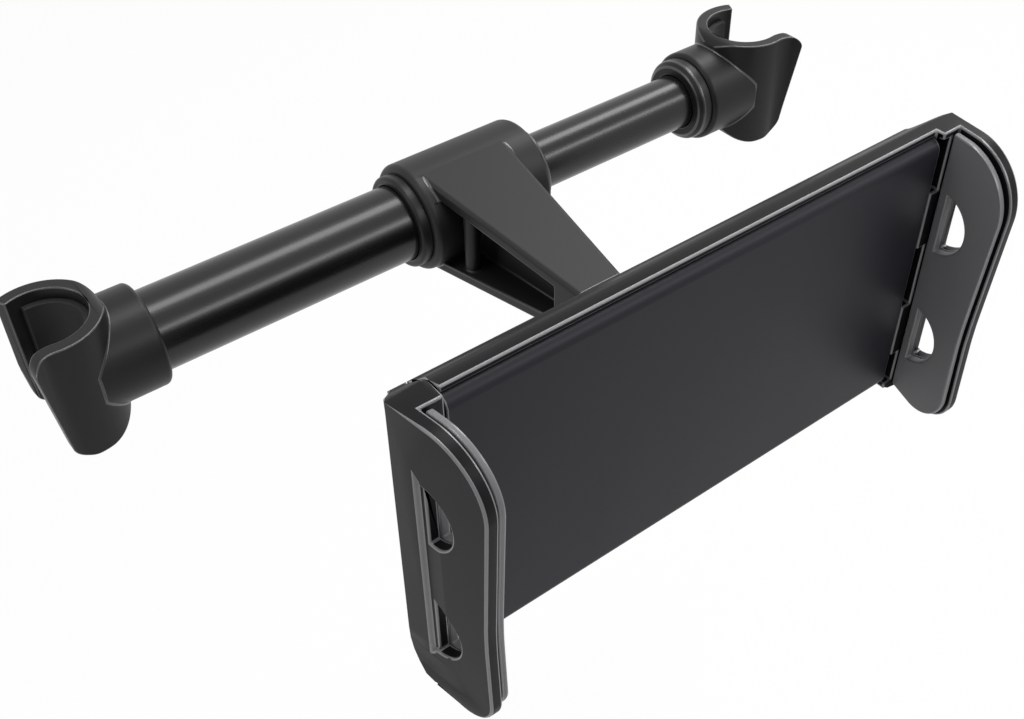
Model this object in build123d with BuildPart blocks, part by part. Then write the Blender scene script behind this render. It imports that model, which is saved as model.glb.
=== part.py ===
import os
from build123d import *

os.makedirs("parts", exist_ok=True)

# Gaps between pieces
seat_gap = 0.05  # round pieces pressed or screwed together
slide_gap = 0.1  # round pieces that slide or turn in each other
pass_gap = 0.3  # flat faces that pass each other

# Telescoping bar along X, with the arm's middle plane at X = 0
tube_od = 17.0
tube_wall = 1.2
inner_od = 13.0
inner_wall = 1.2
outer_shown = 58.0  # outer tube between the bracket's ring and the left claw
inner_shown = 45.0  # inner tube between the guide bush and the right claw
guide_length = 20.0
guide_flange = 2.0
guide_flange_r = 9.6
stop_length = 4.0
plug_length = 14.0
plug_bore_r = 2.2
reducer_flange = 3.5
reducer_flange_r = 9.8
spring_wire = 1.3
spring_turns = 9
spring_clear = 0.7

# Bracket: sleeve round the outer tube, and the arm towards -Y
sleeve_length = 31.0
sleeve_shift = 2.0
sleeve_r = 12.1
sleeve_round = 1.4
ring_length = 2.5
ring_r = 10.4
arm_root_width = 23.0
arm_tip_width = 11.0
arm_tip_height = 12.0
arm_flange = 2.8
arm_web = 4.0
arm_round = 1.1
tip_block = 7.0
rib_r = 1.7
rib_reach = 15.2

# Claws that hook on the two headrest posts
post_r = 7.0
claw_pad = 1.5
claw_wall = 2.7
claw_height = 26.8
claw_back_end = 118.0
claw_front_wrap = 98.0
lip_radius = 5.5
lip_turn = 52.0
lip_straight = 2.4
claw_end_slant = 3.0
claw_end_reach = 7.0
claw_top_round = 2.5
claw_mouth_round = 5.0
claw_root_round = 8.5
collar_r = 10.8
collar_round = 1.1
collar_to_post = 18.0
socket_depth = 6.5
pad_margin = 2.4
pad_back_end = 100.0
pad_front_end = 96.0

# Ball joint on the Y axis
ball_r = 8.5
ball_reach = 59.5  # bar axis to ball centre
ball_gap = 0.1
neck_r = 4.2
tip_clear = 10.5  # ball centre to the arm's tip
stud_r = 3.2
stud_length = 11.0
pad_cap_t = 0.7
pad_cap_angle = 35.0
seat_angle = 66.0
socket_r = 11.4
socket_lip = 3.2
petal_count = 6
petal_slot = 1.2
nut_r = 13.9
nut_lip = 5.2
nut_mouth_r = 8.4
cone_run = 2.3
cone_drop = 2.5
nut_mouth_flare = 0.8
nut_taper = 2.6
nut_taper_run = 3.7
nut_round = 0.8
nut_flutes = 12
nut_flute_r = 2.4
nut_flute_depth = 0.7

# Tray: shell, front plate and two clips
tray_height = 65.0
tray_thick = 11.0
ball_to_back = 9.0  # ball centre to the tray's back
tray_back_round = 5.0
shell_wall = 2.0
rim_wall = 1.4
rim_set = 1.9
plate_thick = 2.5
plate_round = 2.3
grip_half = 59.0  # arm's middle plane to a clip's pad at the plate
grip_lean = 2.4
clip_reach = 16.5
clip_waist = 14.4
clip_foot = 15.3
clip_drop = 3.6
clip_waist_z = -9.0
clip_top_round = 12.0
clip_waist_round = 150.0
clip_foot_round = 7.0
clip_root_round = 3.0
clip_base = 5.6
clip_lip = 4.3
back_flare = 1.0
clip_pad = 1.4
pad_step = 0.6
pad_inset = 0.7
land_inset = 1.9
seam_inset = 2.4
hole_length = 13.4
hole_width = 6.0
hole_from_plate = 2.4
hole_upper = 12.4
hole_lower = -16.0
recess_depth = 1.8
recess_margin = 1.6
gap_width = 2.2
gap_depth = 4.0

# Slide inside the tray
tongue_thick = 2.4
tongue_width = 42.0
tongue_end = 44.0
tongue_slot = 6.4
rail_t = 1.3
pull_spring_r = 2.3
pull_spring_wire = 0.8
pull_spring_turns = 16
pull_spring_z = 12.0
peg_r = 1.4
peg_left = 8.0
peg_right = 50.0

# Screws
screw_r = 1.1
screw_head_r = 2.2
screw_head_t = 1.3
screw_length = 6.0
boss_r = 2.5
tray_screw_x = 46.0
tray_screw_z = 25.5

# Places worked out from the sizes above
tube_bore_r = tube_od / 2 - tube_wall
inner_bore_r = inner_od / 2 - inner_wall
sleeve_left = sleeve_shift - sleeve_length / 2
sleeve_right = sleeve_shift + sleeve_length / 2
left_collar_x = sleeve_left - ring_length - outer_shown
right_collar_x = sleeve_right + guide_flange + inner_shown + reducer_flange
left_post_x = left_collar_x - collar_to_post
right_post_x = right_collar_x + collar_to_post
tube_left = left_collar_x - socket_depth
inner_right = right_collar_x + socket_depth
inner_left = sleeve_right - guide_length
claw_bore_r = post_r + claw_pad
arm_tip_y = -(ball_reach - tip_clear)
tray_back_y = -(ball_reach + ball_to_back)
face_y = tray_back_y - tray_thick
plate_back_y = face_y + plate_thick
floor_y = tray_back_y - shell_wall
tray_top = tray_height / 2
seam_x = -(grip_half - seam_inset)
tongue_y = plate_back_y + pass_gap
spring_y = tongue_y + tongue_thick + pass_gap + pull_spring_wire / 2
claw_screw_tip = -(collar_r - screw_head_t - screw_length)
left_screw_x = left_collar_x - socket_depth / 2
right_screw_x = right_collar_x + socket_depth / 2
post_mid = Plane.YZ.offset((left_post_x + right_post_x) / 2)
spring_left = tube_left + plug_length
spring_right = inner_left - stop_length
spring_pitch = (spring_right - spring_left) / spring_turns
spring_r = tube_bore_r - spring_clear
pocket_end_y = arm_tip_y + tip_block
arm_slope = (sleeve_r - arm_tip_height / 2) / abs(arm_tip_y)
pocket_end_z = sleeve_r - arm_flange - arm_slope * abs(pocket_end_y)
rib_x = arm_root_width / 2 - (arm_root_width - arm_tip_width) / 2 * rib_reach / abs(arm_tip_y) - rib_r - arm_round
cone_y = socket_lip - cone_run - ball_reach
nut_base_y = tray_back_y + 2 * pass_gap
rim_y = face_y + rim_set
shell_left = seam_x + pass_gap
plate_width = tray_height - 2 * (rim_wall + slide_gap)
plan_reach = clip_reach + clip_pad
tongue_root = clip_pad
peg_height = 2 * pass_gap + pull_spring_wire
loop_r = peg_r + pass_gap + pull_spring_wire
coil_left = peg_left + peg_r + slide_gap
coil_right = peg_right - peg_r - slide_gap
tongue_slot_x = coil_left - slide_gap
rail_length = peg_right - shell_left - pass_gap
rail_x = shell_left + pass_gap + rail_length / 2
hole_half = hole_length / 2
dark_gaps = (
    (-tray_top + rim_wall + slide_gap, hole_lower - hole_half),
    (hole_lower + hole_half, hole_upper - hole_half),
    (hole_upper + hole_half, tray_top - rim_wall - slide_gap),
)


def finish(block, name):
    """Label a finished piece and write its STEP file."""
    block.part.label = name
    export_step(block.part, f"parts/{name}.step")


def screw_hole(x, z_from, z_to):
    """Cut a screw's clearance hole across the bar, from below."""
    with Locations((x, 0, (z_from + z_to) / 2)):
        Cylinder(screw_r + seat_gap, abs(z_to - z_from), mode=Mode.SUBTRACT)


def head_recess(x, radius):
    """Cut the flat seat of a screw's head into a round piece on the bar, from below."""
    with Locations((x, 0, -radius)):
        Cylinder(screw_head_r + slide_gap, 2 * (screw_head_t + seat_gap), mode=Mode.SUBTRACT)


# Outer tube: aluminium, fixed in the left claw and in the bracket's sleeve
with BuildPart() as outer_tube:
    with BuildSketch(Plane.YZ.offset(tube_left)):
        Circle(tube_od / 2)
        Circle(tube_bore_r, mode=Mode.SUBTRACT)
    extrude(amount=sleeve_right - tube_left)
    screw_hole(left_screw_x, -tube_od, 0)
    screw_hole(sleeve_shift, -tube_od, 0)
finish(outer_tube, "outer_tube")

# Inner tube: aluminium, slides in the outer tube and carries the right claw
with BuildPart() as inner_tube:
    with BuildSketch(Plane.YZ.offset(inner_left)):
        Circle(inner_od / 2)
        Circle(inner_bore_r, mode=Mode.SUBTRACT)
    extrude(amount=inner_right - inner_left)
    screw_hole(right_screw_x, -tube_od, 0)
finish(inner_tube, "inner_tube")

# Guide bush: plastic, in the outer tube's mouth, with a flange over the sleeve's end
with BuildPart() as guide_bush:
    with BuildSketch(Plane.YZ.offset(sleeve_right)):
        Circle(guide_flange_r)
    extrude(amount=guide_flange)
    chamfer(guide_bush.faces().sort_by(Axis.X)[-1].edges(), guide_flange / 3)
    with BuildSketch(Plane.YZ.offset(sleeve_right)):
        Circle(tube_bore_r - seat_gap)
    extrude(amount=pass_gap - guide_length)
    with BuildSketch(Plane.YZ.offset(sleeve_right - guide_length)):
        Circle(inner_od / 2 + slide_gap)
    extrude(amount=guide_length + guide_flange, mode=Mode.SUBTRACT)
    screw_hole(sleeve_shift, -tube_od, 0)
finish(guide_bush, "guide_bush")

# Inner stop: plastic plug in the inner tube's end, which the guide bush catches
with BuildPart() as inner_stop:
    with BuildSketch(Plane.YZ.offset(inner_left - stop_length)):
        Circle(tube_bore_r - slide_gap)
    extrude(amount=stop_length)
    with BuildSketch(Plane.YZ.offset(inner_left)):
        Circle(inner_bore_r - seat_gap)
    extrude(amount=plug_length / 2)
    with BuildSketch(Plane.YZ.offset(inner_left - stop_length)):
        Circle(plug_bore_r)
    extrude(amount=stop_length + plug_length / 2, mode=Mode.SUBTRACT)
finish(inner_stop, "inner_stop")

# End plugs: plastic, in the tubes' outer ends, where the claws' screws bite
with BuildPart() as left_end_plug:
    with BuildSketch(Plane.YZ.offset(tube_left)):
        Circle(tube_bore_r - seat_gap)
    extrude(amount=plug_length)
    screw_hole(left_screw_x, -tube_od, claw_screw_tip + pass_gap)
finish(left_end_plug, "left_end_plug")

with BuildPart() as right_end_plug:
    with BuildSketch(Plane.YZ.offset(inner_right)):
        Circle(inner_bore_r - seat_gap)
    extrude(amount=-plug_length)
    screw_hole(right_screw_x, -tube_od, claw_screw_tip + pass_gap)
finish(right_end_plug, "right_end_plug")

# Bar spring: steel wire, pushes the inner tube out so that the claws press on the posts
with BuildPart() as bar_spring:
    with BuildSketch():
        with BuildLine():
            for turn in range(spring_turns):
                x = spring_left + turn * spring_pitch
                Polyline(
                    (x, spring_r - spring_wire / 2),
                    (x + spring_wire / 2, spring_r),
                    (x + spring_wire, spring_r - spring_wire / 2),
                    (x + spring_pitch, spring_r - spring_wire / 2),
                )
            Polyline(
                (spring_right, spring_r - spring_wire / 2),
                (spring_right, spring_r - spring_wire),
                (spring_left, spring_r - spring_wire),
                (spring_left, spring_r - spring_wire / 2),
            )
        make_face()
    revolve(axis=Axis.X)
finish(bar_spring, "bar_spring")

# Left claw: one moulding, a hooked wall round the post and a round collar for the tube
with BuildPart() as left_claw:
    with BuildSketch(Plane.XY.offset(-claw_height / 2)):
        with BuildLine():
            hook = CenterArc(
                (left_post_x, 0), claw_bore_r + claw_wall / 2, claw_back_end, -(claw_back_end + claw_front_wrap)
            )
            lip = JernArc(hook @ 1, hook % 1, lip_radius, lip_turn)
            Line(lip @ 1, lip @ 1 + lip_straight * (lip % 1))
        trace(line_width=claw_wall)
    extrude(amount=claw_height)
    with BuildSketch(Plane.XZ):
        with BuildLine():
            FilletPolyline(
                (left_post_x - claw_end_reach, claw_height / 2),
                (left_post_x + claw_bore_r + claw_wall, claw_height / 2),
                (left_post_x + claw_bore_r + claw_wall, -claw_height / 2),
                (left_post_x - claw_end_reach + claw_end_slant, -claw_height / 2),
                radius=(claw_top_round, claw_top_round, claw_root_round, claw_mouth_round),
                close=True,
            )
        make_face()
    extrude(amount=2 * collar_to_post, both=True, mode=Mode.INTERSECT)
    with BuildSketch() as collar:
        with Locations((left_collar_x, 0)):
            Rectangle(collar_to_post - claw_bore_r / 2, collar_r, align=(Align.MAX, Align.MIN))
        fillet(collar.vertices().group_by(Axis.X)[-1].sort_by(Axis.Y)[-1], collar_round)
    revolve(axis=Axis.X)
    with Locations((left_post_x, 0)):
        Cylinder(claw_bore_r, 2 * claw_height, mode=Mode.SUBTRACT)
    with BuildSketch(Plane.YZ.offset(left_collar_x)):
        Circle(tube_od / 2 + seat_gap)
    extrude(amount=-socket_depth, mode=Mode.SUBTRACT)
    screw_hole(left_screw_x, -2 * collar_r, 0)
    head_recess(left_screw_x, collar_r)
finish(left_claw, "left_claw")

# Right claw: the left claw's mirror image
with BuildPart() as right_claw:
    add(mirror(left_claw.part, about=post_mid))
finish(right_claw, "right_claw")

# Claw pads: rubber liners that grip the posts
with BuildPart() as left_claw_pad:
    with BuildSketch(Plane.XY.offset(pad_margin - claw_height / 2)):
        with BuildLine():
            CenterArc(
                (left_post_x, 0),
                post_r + (claw_pad - seat_gap) / 2,
                pad_back_end,
                -(pad_back_end + pad_front_end),
            )
        trace(line_width=claw_pad - seat_gap)
    extrude(amount=claw_height - 2 * pad_margin)
finish(left_claw_pad, "left_claw_pad")

with BuildPart() as right_claw_pad:
    add(mirror(left_claw_pad.part, about=post_mid))
finish(right_claw_pad, "right_claw_pad")

# Reducer bush: plastic, fits the thin tube to the right claw's socket
with BuildPart() as reducer_bush:
    with BuildSketch(Plane.YZ.offset(right_collar_x - reducer_flange)):
        Circle(reducer_flange_r)
    extrude(amount=reducer_flange)
    chamfer(reducer_bush.faces().sort_by(Axis.X)[0].edges(), reducer_flange / 3)
    with BuildSketch(Plane.YZ.offset(right_collar_x)):
        Circle(tube_od / 2)
    extrude(amount=socket_depth)
    with BuildSketch(Plane.YZ.offset(right_collar_x - reducer_flange)):
        Circle(inner_od / 2 + seat_gap)
    extrude(amount=reducer_flange + socket_depth, mode=Mode.SUBTRACT)
    screw_hole(right_screw_x, -tube_od, 0)
finish(reducer_bush, "reducer_bush")


def bar_screw(x, radius, tip):
    """Self-tapping screw across the bar, driven from below."""
    with BuildPart() as screw:
        with BuildSketch(Plane.XY.offset(-radius)):
            with Locations((x, 0)):
                Circle(screw_head_r)
        extrude(amount=screw_head_t)
        with BuildSketch(Plane.XY.offset(screw_head_t - radius)):
            with Locations((x, 0)):
                Circle(screw_r)
        extrude(amount=tip - (screw_head_t - radius))
    return screw


# Screws: steel, one across each claw's collar and one across the bracket's sleeve
finish(bar_screw(left_screw_x, collar_r, claw_screw_tip), "left_claw_screw")
finish(bar_screw(right_screw_x, collar_r, claw_screw_tip), "right_claw_screw")
finish(bar_screw(sleeve_shift, sleeve_r, -(inner_od / 2 + pass_gap)), "bracket_screw")

# Bracket and arm: one moulding, a sleeve with a tapered beam of two flanges and a web
with BuildPart() as bracket_arm:
    with BuildSketch(Plane.XY.offset(-sleeve_r)):
        with BuildLine():
            Polyline(
                (-arm_root_width / 2, 0),
                (arm_root_width / 2, 0),
                (arm_tip_width / 2, arm_tip_y),
                (-arm_tip_width / 2, arm_tip_y),
                close=True,
            )
        make_face()
    extrude(amount=2 * sleeve_r)
    with BuildSketch(Plane.YZ):
        with BuildLine():
            Polyline(
                (0, sleeve_r),
                (arm_tip_y, arm_tip_height / 2),
                (arm_tip_y, -arm_tip_height / 2),
                (0, -sleeve_r),
                close=True,
            )
        make_face()
    extrude(amount=arm_root_width, both=True, mode=Mode.INTERSECT)
    long_edges = bracket_arm.edges().filter_by(lambda edge: edge.length > abs(arm_tip_y))
    fillet(long_edges, arm_round)
    with BuildSketch(Plane.YZ.offset(arm_web / 2)) as pocket:
        with BuildLine():
            Polyline(
                (0, sleeve_r - arm_flange),
                (pocket_end_y, pocket_end_z),
                (pocket_end_y, -pocket_end_z),
                (0, arm_flange - sleeve_r),
                close=True,
            )
        make_face()
    extrude(amount=arm_root_width, mode=Mode.SUBTRACT)
    with BuildSketch(Plane.YZ.offset(-arm_web / 2)):
        add(pocket.sketch_local)
    extrude(amount=-arm_root_width, mode=Mode.SUBTRACT)
    with Locations((rib_x, -rib_reach), (-rib_x, -rib_reach)):
        Cylinder(rib_r, 2 * (sleeve_r - arm_flange))
    with BuildSketch(Plane.YZ.offset(sleeve_left)):
        Circle(sleeve_r)
    extrude(amount=sleeve_length)
    sleeve_ends = bracket_arm.edges().filter_by(GeomType.CIRCLE).sort_by(Axis.X)
    fillet([sleeve_ends[0], sleeve_ends[-1]], sleeve_round)
    with BuildSketch(Plane.YZ.offset(sleeve_left)):
        Circle(tube_od / 2 + seat_gap)
    extrude(amount=sleeve_length, mode=Mode.SUBTRACT)
    with BuildSketch(Plane.XZ.offset(-arm_tip_y)):
        Circle(stud_r + seat_gap)
    extrude(amount=-stud_length, mode=Mode.SUBTRACT)
    screw_hole(sleeve_shift, -2 * sleeve_r, 0)
    head_recess(sleeve_shift, sleeve_r)
finish(bracket_arm, "bracket_arm")

# End ring: plastic, closes the sleeve round the outer tube on the left
with BuildPart() as end_ring:
    with BuildSketch(Plane.YZ.offset(sleeve_left - ring_length)):
        Circle(ring_r)
    extrude(amount=ring_length)
    fillet(end_ring.faces().sort_by(Axis.X)[0].edges(), ring_length / 3)
    with BuildSketch(Plane.YZ.offset(sleeve_left - ring_length)):
        Circle(tube_od / 2 + seat_gap)
    extrude(amount=ring_length, mode=Mode.SUBTRACT)
finish(end_ring, "end_ring")

# Ball stud: ball, neck and a shank that is fixed in the arm's tip
with BuildPart() as ball_stud:
    with Locations((0, -ball_reach)):
        Sphere(ball_r)
    with BuildSketch(Plane.XZ.offset(ball_reach)):
        Circle(neck_r)
    extrude(amount=-tip_clear)
    with BuildSketch(Plane.XZ.offset(-arm_tip_y)):
        Circle(stud_r)
    extrude(amount=-stud_length)
finish(ball_stud, "ball_stud")


def ball_shell(inner, outer, angle):
    """Half section of a round shell on the ball's tray side."""
    with BuildSketch() as section:
        with BuildLine():
            inside = CenterArc((0, -ball_reach), inner, -90, angle)
            outside = CenterArc((0, -ball_reach), outer, -90, angle)
            Line(inside @ 0, outside @ 0)
            Line(inside @ 1, outside @ 1)
        make_face()
    return section.sketch


# Friction pad: rubber cap between the ball and the tray's socket
with BuildPart() as friction_pad:
    revolve(ball_shell(ball_r + ball_gap, ball_r + ball_gap + pad_cap_t, pad_cap_angle), axis=Axis.Y)
finish(friction_pad, "friction_pad")

# Ring nut: plastic, its cone squeezes the socket's petals on the ball
with BuildPart() as ring_nut:
    with BuildSketch():
        with BuildLine():
            Polyline(
                (socket_r + slide_gap, nut_base_y),
                (socket_r + slide_gap, cone_y),
                (nut_mouth_r, cone_y + (socket_r + slide_gap - nut_mouth_r) * cone_run / cone_drop),
                (nut_mouth_r + nut_mouth_flare, nut_lip - ball_reach),
                (nut_r - nut_taper, nut_lip - ball_reach),
                (nut_r, nut_lip - ball_reach - nut_taper_run),
                (nut_r, nut_base_y),
                close=True,
            )
        make_face()
    revolve(axis=Axis.Y)
    fillet(ring_nut.edges().filter_by(GeomType.CIRCLE).sort_by(SortBy.RADIUS)[-2:], nut_round)
    with BuildSketch(Plane.XZ.offset(-nut_base_y)):
        with PolarLocations(nut_r + nut_flute_r - nut_flute_depth, nut_flutes):
            Circle(nut_flute_r)
    extrude(amount=-2 * nut_r, mode=Mode.SUBTRACT)
finish(ring_nut, "ring_nut")


def grip_x(forward, outward):
    """X of a face of the left clip, seen from above, so far in front of the plate."""
    return -(grip_half - grip_lean * forward / clip_reach + outward)


def clip_outline(inset):
    """Side outline of a clip in the YZ plane, drawn in all round by the inset."""
    top_z = tray_top - inset
    corners = {
        (tray_back_y - inset, -top_z): tray_back_round,
        (tray_back_y - inset, top_z): tray_back_round,
        (face_y - clip_reach + inset, top_z): clip_top_round,
        (face_y - clip_waist + inset, clip_waist_z): clip_waist_round,
        (face_y - clip_foot + inset, -top_z - clip_drop): clip_foot_round,
        (face_y, -top_z): clip_root_round,
    }
    with BuildSketch(Plane.YZ) as outline:
        with BuildLine():
            Polyline(*corners, close=True)
        make_face()
        for corner, radius in corners.items():
            fillet(outline.vertices().sort_by_distance(corner)[0], radius)
    return outline.sketch


def clip_slab(inset, corners):
    """Solid of the left clip between an outline and a plan, given by its corners."""
    with BuildPart() as slab:
        with BuildSketch(Plane.XY.offset(-tray_height)):
            with BuildLine():
                Polyline(*corners, close=True)
            make_face()
        extrude(amount=2 * tray_height)
        extrude(clip_outline(inset), amount=2 * grip_half, dir=(-1, 0, 0), mode=Mode.INTERSECT)
    return slab.part


def bow(near, width, bottom, top):
    """Opening in a clip, drawn in the YZ plane, straight beside the plate and round in front."""
    with BuildSketch(Plane.YZ) as opening:
        with BuildLine():
            side = Line((near, bottom), (near, top))
            ThreePointArc(side @ 0, (near - width, (top + bottom) / 2), side @ 1)
        make_face()
    return opening.sketch


finger_holes = [
    bow(face_y - hole_from_plate, hole_width, middle - hole_half, middle + hole_half)
    for middle in (hole_upper, hole_lower)
]
outer_recess = bow(
    face_y - hole_from_plate + recess_margin,
    hole_width + 2 * recess_margin,
    hole_lower - hole_half - recess_margin,
    hole_upper + hole_half + recess_margin,
)


# Clip shell: the left clip's outer wall and end cap, also the pattern for the right one
with BuildPart() as clip_shell:
    add(
        clip_slab(
            0,
            (
                (grip_x(0, clip_base + back_flare), tray_back_y),
                (grip_x(plan_reach, clip_lip), face_y - plan_reach),
                (grip_x(plan_reach, clip_pad + pad_step), face_y - plan_reach),
                (grip_x(0, clip_pad + pad_step), face_y),
                (seam_x, face_y),
                (seam_x, tray_back_y),
            ),
        )
    )
    for hole in finger_holes:
        extrude(hole, amount=-2 * grip_half, mode=Mode.SUBTRACT)
    extrude(
        Pos(grip_x(0, clip_base - recess_depth), 0, 0) * outer_recess, amount=-grip_half, mode=Mode.SUBTRACT
    )

# Clip pads: rubber linings, set on a narrower step so that a groove runs round them
with BuildPart() as left_clip_pad:
    add(
        clip_slab(
            pad_inset,
            (
                (grip_x(pass_gap, 0), face_y - pass_gap),
                (grip_x(plan_reach, 0), face_y - plan_reach),
                (grip_x(plan_reach, clip_pad), face_y - plan_reach),
                (grip_x(pass_gap, clip_pad), face_y - pass_gap),
            ),
        )
    )
    add(
        clip_slab(
            land_inset,
            (
                (grip_x(pass_gap, clip_pad), face_y - pass_gap),
                (grip_x(plan_reach, clip_pad), face_y - plan_reach),
                (grip_x(plan_reach, clip_pad + pad_step), face_y - plan_reach),
                (grip_x(pass_gap, clip_pad + pad_step), face_y - pass_gap),
            ),
        )
    )
    for hole in finger_holes:
        extrude(hole, amount=-2 * grip_half, mode=Mode.SUBTRACT)
finish(left_clip_pad, "left_clip_pad")

with BuildPart() as right_clip_pad:
    add(mirror(left_clip_pad.part, about=Plane.YZ))
finish(right_clip_pad, "right_clip_pad")

# Sliding clip: the left clip's shell with its tongue, one moulding
with BuildPart() as slide_clip:
    add(clip_shell.part)
    with BuildSketch(Plane.XZ.offset(-tongue_y)):
        with Locations(((seam_x + tongue_end) / 2 - tongue_root / 2, 0)):
            Rectangle(tongue_end - seam_x + tongue_root, tongue_width)
        slot_x = (tongue_slot_x + tongue_end) / 2
        with Locations((slot_x, pull_spring_z), (slot_x, -pull_spring_z)):
            Rectangle(tongue_end - tongue_slot_x, tongue_slot, mode=Mode.SUBTRACT)
    extrude(amount=-tongue_thick)
    with BuildSketch(Plane.XZ.offset(-(tongue_y + tongue_thick))):
        with Locations((peg_left, pull_spring_z), (peg_left, -pull_spring_z)):
            Circle(peg_r)
    extrude(amount=-peg_height)
finish(slide_clip, "slide_clip")

# Back shell: one moulding, tray tub, right clip and the ball's socket
with BuildPart() as back_shell:
    with BuildSketch(Plane.YZ.offset(shell_left)) as tub:
        with Locations(((rim_y + tray_back_y) / 2, 0)):
            Rectangle(tray_back_y - rim_y, tray_height)
        fillet(tub.vertices().group_by(Axis.X)[-1], tray_back_round)
    extrude(amount=-seam_x - shell_left)
    with BuildSketch(Plane.YZ.offset(shell_left)):
        with Locations(((face_y + floor_y) / 2, 0)):
            Rectangle(floor_y - face_y, tray_height - 2 * rim_wall)
    extrude(amount=-seam_x - shell_left, mode=Mode.SUBTRACT)
    add(mirror(clip_shell.part, about=Plane.YZ))
    with BuildSketch(Plane.XZ.offset(-face_y)):
        for low, high in dark_gaps:
            with Locations((-seam_x + gap_width / 2, (low + high) / 2)):
                Rectangle(gap_width, high - low)
    extrude(amount=-gap_depth, mode=Mode.SUBTRACT)
    with BuildSketch(Plane.XZ.offset(-floor_y)):
        for side in (1, -1):
            with Locations((rail_x, side * (tongue_width / 2 + pass_gap + rail_t / 2))):
                Rectangle(rail_length, rail_t)
    extrude(amount=floor_y - plate_back_y)
    with BuildSketch(Plane.XZ.offset(-floor_y)):
        with Locations((rail_x, (tongue_width - rail_t) / 2), (rail_x, -(tongue_width - rail_t) / 2)):
            Rectangle(rail_length, rail_t)
    extrude(amount=floor_y - (tongue_y + tongue_thick + pass_gap))
    with BuildSketch(Plane.XZ.offset(-floor_y)):
        with Locations((peg_right, pull_spring_z), (peg_right, -pull_spring_z)):
            Circle(peg_r)
    extrude(amount=floor_y - spring_y + peg_height / 2)
    with BuildSketch():
        with BuildLine():
            Polyline(
                (0, floor_y),
                (socket_r, floor_y),
                (socket_r, cone_y),
                (socket_r - cone_drop, cone_y + cone_run),
                (0, cone_y + cone_run),
                close=True,
            )
        make_face()
    revolve(axis=Axis.Y)
    with Locations((0, -ball_reach)):
        Sphere(ball_r + ball_gap, mode=Mode.SUBTRACT)
    pad_seat = ball_shell(ball_r, ball_r + 2 * ball_gap + pad_cap_t, seat_angle)
    revolve(pad_seat, axis=Axis.Y, mode=Mode.SUBTRACT)
    with BuildSketch(Plane.XZ.offset(ball_reach)):
        with PolarLocations(0, petal_count // 2, angular_range=180):
            Rectangle(3 * socket_r, petal_slot)
    extrude(amount=-2 * socket_lip, mode=Mode.SUBTRACT)
    with BuildSketch(Plane.XZ.offset(-tray_back_y)):
        with GridLocations(2 * tray_screw_x, 2 * tray_screw_z, 2, 2):
            Circle(screw_head_r + slide_gap)
    extrude(amount=screw_head_t + seat_gap, mode=Mode.SUBTRACT)
    with BuildSketch(Plane.XZ.offset(-tray_back_y)):
        with GridLocations(2 * tray_screw_x, 2 * tray_screw_z, 2, 2):
            Circle(screw_r + seat_gap)
    extrude(amount=2 * shell_wall, mode=Mode.SUBTRACT)
finish(back_shell, "back_shell")

# Front plate: plastic cover with rounded long edges, screwed on from behind
with BuildPart() as front_plate:
    with BuildSketch(Plane.XZ.offset(-plate_back_y)):
        with Locations(((shell_left - seam_x - pass_gap) / 2, 0)):
            Rectangle(-seam_x - pass_gap - shell_left, plate_width)
    extrude(amount=plate_thick)
    front_edges = front_plate.edges().filter_by(Axis.X).group_by(Axis.Y)[0]
    fillet(front_edges, plate_round)
    with BuildSketch(Plane.XZ.offset(-plate_back_y)):
        with GridLocations(2 * tray_screw_x, 2 * tray_screw_z, 2, 2):
            Circle(boss_r)
    extrude(amount=plate_back_y - floor_y)
    with BuildSketch(Plane.XZ.offset(-floor_y)):
        with GridLocations(2 * tray_screw_x, 2 * tray_screw_z, 2, 2):
            Circle(screw_r + seat_gap)
    extrude(amount=screw_length - shell_wall + screw_head_t + pass_gap, mode=Mode.SUBTRACT)
finish(front_plate, "front_plate")

# Tray screws: steel, four self-tapping screws from behind
with BuildPart() as tray_screws:
    with BuildSketch(Plane.XZ.offset(-tray_back_y)):
        with GridLocations(2 * tray_screw_x, 2 * tray_screw_z, 2, 2):
            Circle(screw_head_r)
    extrude(amount=screw_head_t)
    with BuildSketch(Plane.XZ.offset(screw_head_t - tray_back_y)):
        with GridLocations(2 * tray_screw_x, 2 * tray_screw_z, 2, 2):
            Circle(screw_r)
    extrude(amount=screw_length)
finish(tray_screws, "tray_screws")


def pull_spring(z):
    """Close-wound extension spring along X, hooked on the tongue's and the shell's pegs."""
    axis = Axis((0, spring_y, z), (1, 0, 0))
    pitch = (coil_right - coil_left) / pull_spring_turns
    with BuildPart() as spring:
        with BuildSketch(Plane.XY.offset(z)):
            with BuildLine():
                for turn in range(pull_spring_turns):
                    x = coil_left + turn * pitch
                    Polyline(
                        (x, spring_y + pull_spring_r - pull_spring_wire / 2),
                        (x + pitch / 2, spring_y + pull_spring_r),
                        (x + pitch, spring_y + pull_spring_r - pull_spring_wire / 2),
                    )
                Polyline(
                    (coil_right, spring_y + pull_spring_r - pull_spring_wire / 2),
                    (coil_right, spring_y + pull_spring_r - pull_spring_wire),
                    (coil_left, spring_y + pull_spring_r - pull_spring_wire),
                    (coil_left, spring_y + pull_spring_r - pull_spring_wire / 2),
                )
            make_face()
        revolve(axis=axis)
        with BuildSketch(Plane.XZ.offset(pull_spring_wire / 2 - spring_y)):
            with Locations((peg_left, z), (peg_right, z)):
                Circle(loop_r)
                Circle(loop_r - pull_spring_wire, mode=Mode.SUBTRACT)
        extrude(amount=-pull_spring_wire)
    return spring


# Pull springs: steel, close the clip on the tablet
finish(pull_spring(pull_spring_z), "upper_pull_spring")
finish(pull_spring(-pull_spring_z), "lower_pull_spring")
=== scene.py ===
import math

import bmesh
import bpy
from mathutils import Matrix, Vector


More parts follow.
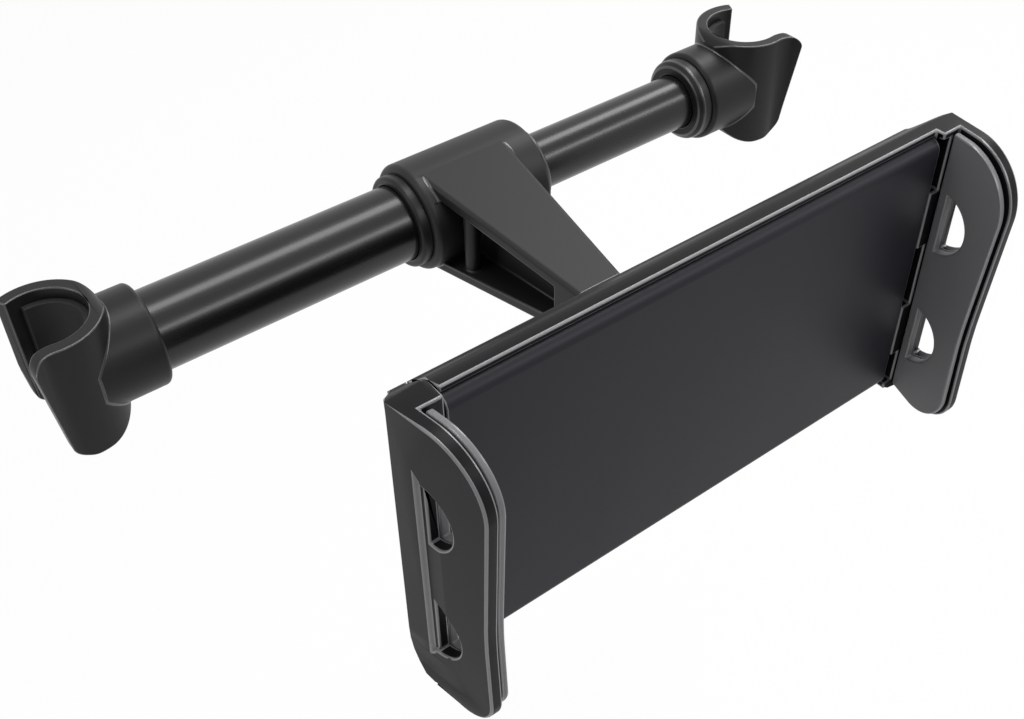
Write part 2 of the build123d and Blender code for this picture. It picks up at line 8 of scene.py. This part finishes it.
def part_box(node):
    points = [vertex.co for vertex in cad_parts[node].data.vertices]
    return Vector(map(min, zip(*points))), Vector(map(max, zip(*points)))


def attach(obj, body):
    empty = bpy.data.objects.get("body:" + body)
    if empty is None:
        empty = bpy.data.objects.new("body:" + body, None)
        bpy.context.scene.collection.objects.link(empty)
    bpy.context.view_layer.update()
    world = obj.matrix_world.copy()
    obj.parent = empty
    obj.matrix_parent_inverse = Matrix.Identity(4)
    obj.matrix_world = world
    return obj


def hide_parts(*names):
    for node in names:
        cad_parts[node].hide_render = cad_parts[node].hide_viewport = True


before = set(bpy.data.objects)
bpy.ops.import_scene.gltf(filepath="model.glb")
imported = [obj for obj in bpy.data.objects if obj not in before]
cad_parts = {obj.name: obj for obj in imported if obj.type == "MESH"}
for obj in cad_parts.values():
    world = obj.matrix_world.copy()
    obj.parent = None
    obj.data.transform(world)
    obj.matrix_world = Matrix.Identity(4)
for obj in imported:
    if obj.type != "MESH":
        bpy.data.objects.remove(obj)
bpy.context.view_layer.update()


# Outer tube: the thick half of the bar, drawn aluminium with a gloss black anodised coat.
# It is cut to length, its edges are broken by a small chamfer, and it sits in the left claw and the sleeve.
class Finish:
    """A shader value: an expression on it adds Math nodes, and make() adds any other node."""

    def __init__(self, tree, socket=None):
        self.tree = tree
        self.socket = socket

    def make(self, kind, settings, sockets, out=0):
        """Adds a node: its settings first, then the values or links of its sockets."""
        node = self.tree.nodes.new(kind)
        for name, value in settings.items():
            setattr(node, name, value)
        for name, value in sockets.items():
            if isinstance(value, Finish):
                self.tree.links.new(value.socket, node.inputs[name])
            else:
                node.inputs[name].default_value = value
        return Finish(self.tree, node.outputs[out])

    def maths(self, operation, first, second):
        return self.make("ShaderNodeMath", {"operation": operation}, {0: first, 1: second})

    def __add__(self, other):
        return self.maths("ADD", self, other)

    def __radd__(self, other):
        return self.maths("ADD", other, self)

    def __mul__(self, other):
        return self.maths("MULTIPLY", self, other)

    def __rmul__(self, other):
        return self.maths("MULTIPLY", other, self)

    def blend(self, low, high):
        """Colour from low to high as this value goes from 0 to 1."""
        return self.make(
            "ShaderNodeMix",
            {"data_type": "RGBA"},
            {"Factor": self, "A": (*low, 1), "B": (*high, 1)},
            out="Result",
        )

    def relief(self, strength, distance):
        """A bumped normal with this value as its height."""
        sockets = {"Strength": strength, "Distance": distance, "Height": self}
        return self.make("ShaderNodeBump", {}, sockets)


def new_finish(name):
    """A material, its plain shader, and the shader value that its nodes start from."""
    material = bpy.data.materials.new(name)
    material.use_nodes = True
    tree = material.node_tree
    return material, tree.nodes["Principled BSDF"], Finish(tree)


def fill(tree, shader, constants, varying):
    """Sets a shader's constant sockets and links the ones that change over the surface."""
    for name, value in constants.items():
        shader.inputs[name].default_value = value
    for name, value in varying.items():
        tree.links.new(value.socket, shader.inputs[name])


tube_black, shader, start = new_finish("tube_gloss_black")
place = start.make("ShaderNodeTexCoord", {}, {}, out="Object")
drawn = start.make("ShaderNodeMapping", {}, {"Vector": place, "Scale": (60, 2600, 2600)})
streaks = start.make("ShaderNodeTexNoise", {}, {"Vector": drawn, "Scale": 1.0, "Detail": 3.0})
clouds = start.make("ShaderNodeTexNoise", {}, {"Vector": place, "Scale": 70.0, "Detail": 2.0})
fill(
    start.tree,
    shader,
    {"Specular IOR Level": 0.38, "Coat Roughness": 0.1},
    {
        "Base Color": clouds.blend((0.0035, 0.0035, 0.0036), (0.006, 0.006, 0.0062)),
        "Roughness": 0.22 + 0.06 * streaks + 0.03 * clouds,
        "Coat Weight": 0.02 + 0.04 * clouds,
        "Normal": streaks.relief(strength=0.05, distance=0.00004),
    },
)


def piece_from(shape, name, body, materials, node):
    """Turns a bmesh into a piece that rides on a body and stands for a CAD node."""
    crease = math.radians(34)
    for face in shape.faces:
        face.smooth = True
    mesh = bpy.data.meshes.new(name)
    shape.to_mesh(mesh)
    shape.free()
    mesh.set_sharp_from_angle(angle=crease)
    for material in materials:
        mesh.materials.append(material)
    piece = bpy.data.objects.new(name, mesh)
    bpy.context.scene.collection.objects.link(piece)
    even = piece.modifiers.new("even_shading", "WEIGHTED_NORMAL")
    even.weight = 100
    even.keep_sharp = True
    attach(piece, body)
    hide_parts(node)


def drawn_tube(node, name, body, radius, bore, chamfer):
    """A tube spun round the bar's axis, as long as its CAD node, with its outer edges broken."""
    left, right = (corner.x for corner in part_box(node))
    profile = (
        (left, bore),
        (left, radius - chamfer),
        (left + chamfer, radius),
        (right - chamfer, radius),
        (right, radius - chamfer),
        (right, bore),
    )
    shape = bmesh.new()
    ring = [shape.verts.new((along, 0, out)) for along, out in profile]
    edges = [shape.edges.new(ends) for ends in zip(ring, ring[1:] + ring[:1])]
    bmesh.ops.spin(
        shape,
        geom=ring + edges,
        cent=(0, 0, 0),
        axis=(1, 0, 0),
        angle=math.tau,
        steps=96,
        use_merge=True,
    )
    bmesh.ops.remove_doubles(shape, verts=shape.verts, dist=1e-6)
    bmesh.ops.recalc_face_normals(shape, faces=shape.faces)
    piece_from(shape, name, body, [tube_black], node)


drawn_tube("outer_tube", "thick_tube", "bar", radius=0.0085, bore=0.0073, chamfer=0.0003)


# Inner tube: the thin half of the bar, the same drawn and anodised aluminium.
# It telescopes in the thick tube on its guide bush, and carries the right claw on a stepped reducer.
drawn_tube("inner_tube", "thin_tube", "inner_bar", radius=0.0065, bore=0.0053, chamfer=0.00025)


# Left and right claw: glass-filled nylon mouldings, a hook for a headrest post and a round collar.
# Their skin is finely spark-eroded, and each is held on its tube by one screw from below.
def moulded(name, dark, light, rough, grain, gloss):
    """Satin moulded plastic or rubber: a fine eroded grain, soft flow marks and an even gloss."""
    material, shader, start = new_finish(name)
    place = start.make("ShaderNodeTexCoord", {}, {}, out="Object")
    fine = start.make("ShaderNodeTexNoise", {}, {"Vector": place, "Scale": 2600.0, "Detail": 2.0})
    pits = start.make("ShaderNodeTexVoronoi", {"feature": "SMOOTH_F1"}, {"Vector": place, "Scale": 1900.0})
    flow = start.make("ShaderNodeTexNoise", {}, {"Vector": place, "Scale": 45.0, "Detail": 3.0})
    fill(
        start.tree,
        shader,
        {"Specular IOR Level": gloss},
        {
            "Base Color": (0.6 * flow + 0.4 * fine).blend(dark, light),
            "Roughness": rough - 0.05 + 0.1 * flow + 0.06 * fine,
            "Normal": (0.6 * fine + 0.4 * pits).relief(strength=grain, distance=0.00006),
        },
    )
    return material


def softened(node, round_mm, reshape=None, thin=False, limit_x=math.inf, limit_y=math.inf):
    """A CAD solid's shape, merged, with its sharp edges below the limits rounded as the mould leaves them."""
    merge_gap = 3e-6
    flat_turn = math.radians(1)
    sharp_turn = math.radians(26)
    shape = bmesh.new()
    shape.from_mesh(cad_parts[node].data)
    bmesh.ops.remove_doubles(shape, verts=shape.verts, dist=merge_gap)
    bmesh.ops.dissolve_limit(shape, angle_limit=flat_turn, verts=shape.verts, edges=shape.edges)
    if reshape:
        reshape(shape)
    sharp = [
        edge
        for edge in shape.edges
        if len(edge.link_faces) == 2
        and edge.calc_face_angle() > sharp_turn
        and max(point.co.x for point in edge.verts) < limit_x
        and max(point.co.y for point in edge.verts) < limit_y
    ]
    rounded = bmesh.ops.bevel(
        shape,
        geom=sharp,
        offset=round_mm / 1000,
        offset_type="OFFSET",
        affect="EDGES",
        segments=2,
        profile=0.5,
        clamp_overlap=thin,
        material=-1,
    )
    # The rounded faces take the second material, which in most pieces carries a painted highlight along the
    # edges.
    for face in rounded["faces"]:
        face.material_index = 1
    return shape


claw_black = moulded(
    "claw_satin_black",
    dark=(0.010, 0.010, 0.0105),
    light=(0.017, 0.017, 0.0178),
    rough=0.36,
    grain=0.22,
    gloss=0.2,
)
# The rounded edges of the claws, rings, arm and nut take a lighter, glossier black: a painted highlight along
# each edge.
painted_highlight_black = moulded(
    "edge_painted_highlight_black",
    dark=(0.020, 0.020, 0.021),
    light=(0.030, 0.030, 0.031),
    rough=0.28,
    grain=0.05,
    gloss=0.75,
)
claw_skin = [claw_black, painted_highlight_black]
for node, body in (("left_claw", "bar"), ("right_claw", "inner_bar")):
    shape = softened(node, round_mm=0.3)
    piece_from(shape, "moulded_" + node, body, claw_skin, node)


# Claw pads: soft black rubber liners, moulded as open rings and pressed into the hooks.
# They grip the headrest's posts and keep them from being scratched.
rubber_black = moulded(
    "liner_rubber",
    dark=(0.008, 0.008, 0.008),
    light=(0.014, 0.014, 0.0142),
    rough=0.62,
    grain=0.3,
    gloss=0.3,
)
for node, body in (("left_claw_pad", "bar"), ("right_claw_pad", "inner_bar")):
    shape = softened(node, round_mm=0.2, thin=True)
    piece_from(shape, "lining_" + node, body, [rubber_black, rubber_black], node)


# Reducer, guide bush and end ring: turned-looking moulded rings at the steps of the bar.
# The reducer fills the right claw's collar, the bush guides the thin tube, and the ring ends the sleeve.
for node, body in (("reducer_bush", "inner_bar"), ("guide_bush", "bar"), ("end_ring", "bar")):
    shape = softened(node, round_mm=0.35)
    piece_from(shape, "ring_" + node, body, claw_skin, node)


# Plugs, stop, spring and screws of the bar: small fittings in the tubes and under the collars.
# Plugs and stop are nylon and pressed in, the spring is bare steel, and the screws are blackened steel.
def plain_steel(name, dark, light, rough):
    """Bare or blackened steel with fine turning marks."""
    material, shader, start = new_finish(name)
    place = start.make("ShaderNodeTexCoord", {}, {}, out="Object")
    marks = start.make("ShaderNodeTexNoise", {}, {"Vector": place, "Scale": 900.0, "Detail": 3.0})
    fill(
        start.tree,
        shader,
        {"Metallic": 1.0},
        {
            "Base Color": marks.blend(dark, light),
            "Roughness": rough + 0.12 * marks,
            "Normal": marks.relief(strength=0.1, distance=0.00003),
        },
    )
    return material


def dress(material, *nodes):
    """Gives CAD nodes that stay as they are their finish."""
    for node in nodes:
        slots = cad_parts[node].data.materials
        slots.clear()
        slots.append(material)


screw_black = plain_steel(
    "screw_black_oxide",
    dark=(0.02, 0.02, 0.021),
    light=(0.05, 0.05, 0.052),
    rough=0.35,
)
spring_steel = plain_steel(
    "spring_steel",
    dark=(0.30, 0.30, 0.31),
    light=(0.48, 0.48, 0.49),
    rough=0.3,
)
dress(claw_black, "inner_stop", "left_end_plug", "right_end_plug")
dress(spring_steel, "bar_spring")
dress(screw_black, "left_claw_screw", "right_claw_screw", "bracket_screw")


# Bracket arm: one nylon moulding, the sleeve round the bar and a tapered flanged beam.
# The beam's tip holds the ball stud, and one screw from below fixes the sleeve to the tube.
arm_black = moulded(
    "arm_satin_black",
    dark=(0.011, 0.011, 0.0115),
    light=(0.017, 0.017, 0.0178),
    rough=0.44,
    grain=0.2,
    gloss=0.26,
)
arm_skin = [arm_black, painted_highlight_black]
arm = softened("bracket_arm", round_mm=0.45)
piece_from(arm, "moulded_arm", "bar", arm_skin, "bracket_arm")


# Ball stud, friction pad and ring nut: the joint between the arm and the tray.
# The nylon ball turns in the tray's slotted socket against a rubber cap.
# The ribbed nylon nut, turned by hand, closes the socket on the ball.
dress(claw_black, "ball_stud")
dress(rubber_black, "friction_pad")
nut = softened("ring_nut", round_mm=0.4)
piece_from(nut, "moulded_nut", "nut", arm_skin, "ring_nut")


# Tray: back shell with the right clip, front plate, and the sliding left clip with its end cap.
# All are satin ABS mouldings in a slightly cool black, and four screws from behind hold the plate.
# Two steel pull springs inside draw the left clip towards the right one.
tray_black = moulded(
    "tray_satin_black",
    dark=(0.0134, 0.0127, 0.0172),
    light=(0.0180, 0.0171, 0.0228),
    rough=0.42,
    grain=0.16,
    gloss=0.16,
)
clip_black = moulded(
    "clip_satin_black",
    dark=(0.0050, 0.0050, 0.0056),
    light=(0.0080, 0.0080, 0.0088),
    rough=0.4,
    grain=0.2,
    gloss=0.11,
)
# The rounded edges of the tray pieces and the clip pads take a light grey: a painted highlight along each
# edge.
clip_painted_highlight = moulded(
    "edge_painted_highlight_grey",
    dark=(0.150, 0.150, 0.157),
    light=(0.190, 0.190, 0.198),
    rough=0.3,
    grain=0.05,
    gloss=0.75,
)
slope_start, slope_end = -0.0749, -0.0685  # along Y, from the rim to the flat of the back
slope_reach = 1.01  # a hair past the slope's end, so that the flat's own edge is drawn in too
flat_x, flat_z = 0.058, 0.027  # half the flat's length and height
draw_x, draw_z = 0.75, 0.97  # shares by which what lies beyond the flat is drawn in
corner_x, corner_width = 0.0578, 0.005  # where the clips' corner rounds start, and where they are full
corner_top, corner_height, corner_depth = -0.022, 0.0105, 0.0065
corner_levels = (corner_top, -0.025, -0.0275, -0.0295, -0.0312)
tongue_x = -0.0564  # past this, the edges of the clip's tongue stay sharp
sharp_back = slope_end - 0.0002  # behind this, the edges of the flat back and the socket stay sharp


def drawn_in(place, flat, share):
    """A coordinate beyond the flat of the back, brought in towards it by a share."""
    beyond = max(abs(place) - flat, 0)
    return place - math.copysign(beyond * share, place)


def slope_back(shape):
    """Slopes the edges of the tray's back to a narrow rim, and rounds the clips' lower outer corners."""
    cuts = [((0, slope_start, 0), (0, 1, 0))]
    cuts += [((side, 0, 0), (1, 0, 0)) for side in (corner_x, -corner_x)]
    cuts += [((0, 0, level), (0, 0, 1)) for level in corner_levels]
    for place, normal in cuts:
        everything = [*shape.verts, *shape.edges, *shape.faces]
        bmesh.ops.bisect_plane(shape, geom=everything, plane_co=place, plane_no=normal)
    for point in shape.verts:
        run = (point.co.y - slope_start) / (slope_end - slope_start)
        if 0 < run < slope_reach:
            point.co.z = drawn_in(point.co.z, flat_z, draw_z * run)
            point.co.x = drawn_in(point.co.x, flat_x, draw_x * run)
        fall = max(corner_top - point.co.z, 0) / corner_height
        outward = min(max((abs(point.co.x) - corner_x) / corner_width, 0), 1)
        above = max(point.co.y - (slope_start - corner_depth * fall**3), 0)
        if fall > 0:
            point.co.y -= above * outward


for node, body, skin, round_mm, reshape, limit_x in (
    ("back_shell", "tray", clip_black, 0.4, slope_back, math.inf),
    ("front_plate", "tray", tray_black, 0.3, None, math.inf),
    ("slide_clip", "clip", clip_black, 0.4, slope_back, tongue_x),
):
    shape = softened(node, round_mm, reshape=reshape, limit_x=limit_x, limit_y=sharp_back)
    piece_from(shape, "moulded_" + node, body, [skin, clip_painted_highlight], node)
dress(spring_steel, "upper_pull_spring", "lower_pull_spring")


# Tray screws: four black self-tapping screws from behind, their thin heads sunk in the sloping back.
# Their blunt tips bite in the bosses behind the plate.
head_back = slope_end - 0.0011
screws = softened("tray_screws", round_mm=0.1)
for point in screws.verts:
    point.co.y = min(point.co.y, head_back)
piece_from(screws, "sunk_screws", "tray", [screw_black, screw_black], "tray_screws")


# Clip pads: dark grey rubber linings, set in the grooves of the two clips.
# Each is moulded with a rounded rim and an opening at each finger hole.
pad_grey = moulded(
    "clip_rubber",
    dark=(0.158, 0.158, 0.164),
    light=(0.192, 0.192, 0.199),
    rough=0.6,
    grain=0.3,
    gloss=0.35,
)
for node, body in (("right_clip_pad", "tray"), ("left_clip_pad", "clip")):
    shape = softened(node, round_mm=0.4)
    piece_from(shape, "lining_" + node, body, [pad_grey, clip_painted_highlight], node)


# Studio: a pale floor well below the bar, a white surround, and soft lamps above and beside.
# Floor and surround are white to the viewer and in reflections, and the lamps stay at a plain level.
bpy.context.scene.view_settings.view_transform = "Standard"
white = (1, 1, 1, 1)
floor_z, floor_half = -0.22, 3.0
floor_glow = 0.94
room_light = 0.2


def seen_rays(start):
    """1 for rays that the viewer sees, straight or in a reflection or glass, and 0 for the rest."""
    seen = start.make("ShaderNodeLightPath", {}, {}, out="Is Camera Ray")
    for kind in ("Is Glossy Ray", "Is Transmission Ray"):
        seen = start.maths("MAXIMUM", seen, start.make("ShaderNodeLightPath", {}, {}, out=kind))
    return seen


floor_white, shader, start = new_finish("floor_white")
start.tree.nodes.remove(shader)
matte = start.make("ShaderNodeBsdfDiffuse", {}, {"Color": (0.9, 0.9, 0.9, 1)})
glow = start.make("ShaderNodeEmission", {}, {"Color": white, "Strength": 1.0})
mixed = start.make("ShaderNodeMixShader", {}, {0: floor_glow * seen_rays(start), 1: matte, 2: glow})
fill(start.tree, start.tree.nodes["Material Output"], {}, {"Surface": mixed})
sweep = bmesh.new()
bmesh.ops.create_grid(sweep, x_segments=1, y_segments=1, size=floor_half)
bmesh.ops.translate(sweep, vec=(0, 0, floor_z), verts=sweep.verts)
floor_mesh = bpy.data.meshes.new("floor")
sweep.to_mesh(floor_mesh)
sweep.free()
floor_mesh.materials.append(floor_white)
floor = bpy.data.objects.new("floor", floor_mesh)
bpy.context.scene.collection.objects.link(floor)

world = bpy.data.worlds.new("white_surround")
world.use_nodes = True
bpy.context.scene.world = world
strength = room_light + (1 - room_light) * seen_rays(Finish(world.node_tree))
fill(world.node_tree, world.node_tree.nodes["Background"], {"Color": white}, {"Strength": strength})


def softbox(name, place, aim, width, height, watts):
    """A rectangular lamp at a place, turned towards a point."""
    lamp = bpy.data.lights.new(name, "AREA")
    lamp.shape = "RECTANGLE"
    lamp.size = width
    lamp.size_y = height
    lamp.energy = watts
    turn = (Vector(place) - Vector(aim)).to_track_quat("Z", "Y")
    holder = bpy.data.objects.new(name, lamp)
    holder.matrix_world = Matrix.Translation(place) @ turn.to_matrix().to_4x4()
    bpy.context.scene.collection.objects.link(holder)


softbox("strip_lamp", (0.30, 0.09, 0.80), aim=(0, 0, 0), width=0.25, height=1.4, watts=8.5)
softbox("left_lamp", (-0.75, 0.15, 0.35), aim=(0, -0.03, 0), width=0.12, height=0.7, watts=1.2)
softbox("front_lamp", (0.35, -0.60, 0.46), aim=(0, -0.08, 0.02), width=0.8, height=0.12, watts=2.5)


# Camera: stands close above the left clip and looks across the tray at the bar, as the photograph does.
# Its place, directions and lens are fitted to the bar's edges and the tray's corners.
camera = bpy.data.cameras.new("camera")
camera.sensor_width = 36
camera.lens = 44.15
right = Vector((0.79767, -0.60281, -0.01853))
up = Vector((0.41516, 0.52654, 0.74189))
back = Vector((-0.43746, -0.59948, 0.67026))
stand = Matrix.Translation((-0.12676, -0.19268, 0.15913))
viewer = bpy.data.objects.new("camera", camera)
viewer.matrix_world = stand @ Matrix((right, up, back)).transposed().to_4x4()
bpy.context.scene.collection.objects.link(viewer)
bpy.context.scene.camera = viewer
